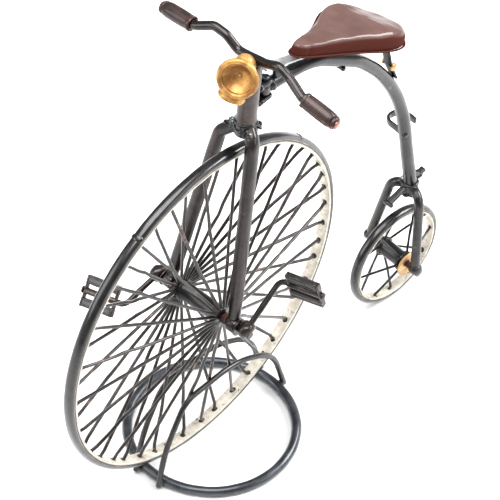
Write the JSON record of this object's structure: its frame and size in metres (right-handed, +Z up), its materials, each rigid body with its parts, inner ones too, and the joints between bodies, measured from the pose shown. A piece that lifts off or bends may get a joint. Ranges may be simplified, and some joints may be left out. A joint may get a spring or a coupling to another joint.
{
  "type": "penny-farthing ornament",
  "caption": "Small metal high-wheel bicycle with large front wheel, small rear wheel, sprung saddle, lamp and pedals, standing in a round rod stand.",
  "frame": {"origin": "middle of the overall bounding box at table level", "axes": "+X the way the bicycle heads, +Y the rider's left, +Z up"},
  "size_m": [0.3072, 0.132, 0.2932],
  "materials": {
    "charcoal_metal": "satin, rubbed",
    "tyre_metal": "satin",
    "rim_metal": "dull",
    "spoke_metal": "copper brown",
    "brown_metal": "rubbed satin",
    "grip_metal": "rubbed to copper",
    "lamp_brass": "antique",
    "saddle_leather": "glossy",
    "spring_steel": "bright",
    "worn_brass": "worn",
    "worn_copper": "worn",
    "pedal_rubber": "matte"
  },
  "bodies": {
    "fork_and_stand": {"fork_crown": "charcoal_metal", "left_fork_blade": "brown_metal", "right_fork_blade": "brown_metal", "head_tube": "brown_metal", "lower_neck_lug": "charcoal_metal", "upper_neck_lug": "charcoal_metal", "neck_pin": "charcoal_metal", "handlebar": "brown_metal", "left_grip": "grip_metal", "right_grip": "grip_metal", "lamp_body": "lamp_brass", "lamp_bowl": "lamp_brass", "stand_ring": "charcoal_metal", "left_arch": "charcoal_metal", "right_arch": "charcoal_metal"},
    "frame": {"neck_barrel": "charcoal_metal", "backbone": "charcoal_metal", "saddle": "saddle_leather", "saddle_spring": "spring_steel", "spring_post": "charcoal_metal", "front_saddle_spacer": "charcoal_metal", "rear_saddle_spacer": "charcoal_metal", "saddle_bolt": "worn_brass", "step_loop": "charcoal_metal", "peg": "charcoal_metal", "rear_crown": "charcoal_metal", "step_bar": "charcoal_metal", "rear_axle": "worn_copper", "left_rear_arm": "charcoal_metal", "right_rear_arm": "charcoal_metal"},
    "front_wheel": {"front_tyre": "tyre_metal", "front_rim": "rim_metal", "front_spokes": "spoke_metal", "front_hub": "charcoal_metal", "front_axle": "charcoal_metal", "left_hub_nut": "worn_copper", "right_hub_nut": "worn_copper", "left_crank_boss": "charcoal_metal", "right_crank_boss": "charcoal_metal", "left_crank": "brown_metal", "right_crank": "brown_metal"},
    "left_pedal": {"left_pedal_cage": "brown_metal", "left_pedal_treads": "pedal_rubber"},
    "right_pedal": {"right_pedal_cage": "brown_metal", "right_pedal_treads": "pedal_rubber"},
    "rear_wheel": {"rear_tyre": "tyre_metal", "rear_rim": "rim_metal", "rear_spokes": "spoke_metal", "rear_hub": "charcoal_metal", "left_rear_washer": "worn_brass", "right_rear_washer": "worn_brass"}
  },
  "joints": [
    {"name": "steering", "type": "hinge", "parent": "fork_and_stand", "child": "frame", "pos_m": [-0.0044, 0, 0.2514], "axis": [0, 0, 1], "range_deg": [-55.76, 64.24]},
    {"name": "front_wheel_spin", "type": "hinge", "parent": "fork_and_stand", "child": "front_wheel", "pos_m": [0.0436, 0, 0.118], "axis": [0, 1, 0], "continuous": true},
    {"name": "left_pedal_spin", "type": "hinge", "parent": "front_wheel", "child": "left_pedal", "pos_m": [0.01218, 0.04931, 0.14066], "axis": [-0.1547, 0.9768, 0.1478], "continuous": true},
    {"name": "right_pedal_spin", "type": "hinge", "parent": "front_wheel", "child": "right_pedal", "pos_m": [0.07458, -0.04931, 0.11078], "axis": [-0.1547, 0.9768, 0.1478], "continuous": true},
    {"name": "rear_wheel_spin", "type": "hinge", "parent": "frame", "child": "rear_wheel", "pos_m": [-0.11869, 0.00847, 0.035], "axis": [0.0739, 0.9973, 0], "continuous": true}
  ]
}
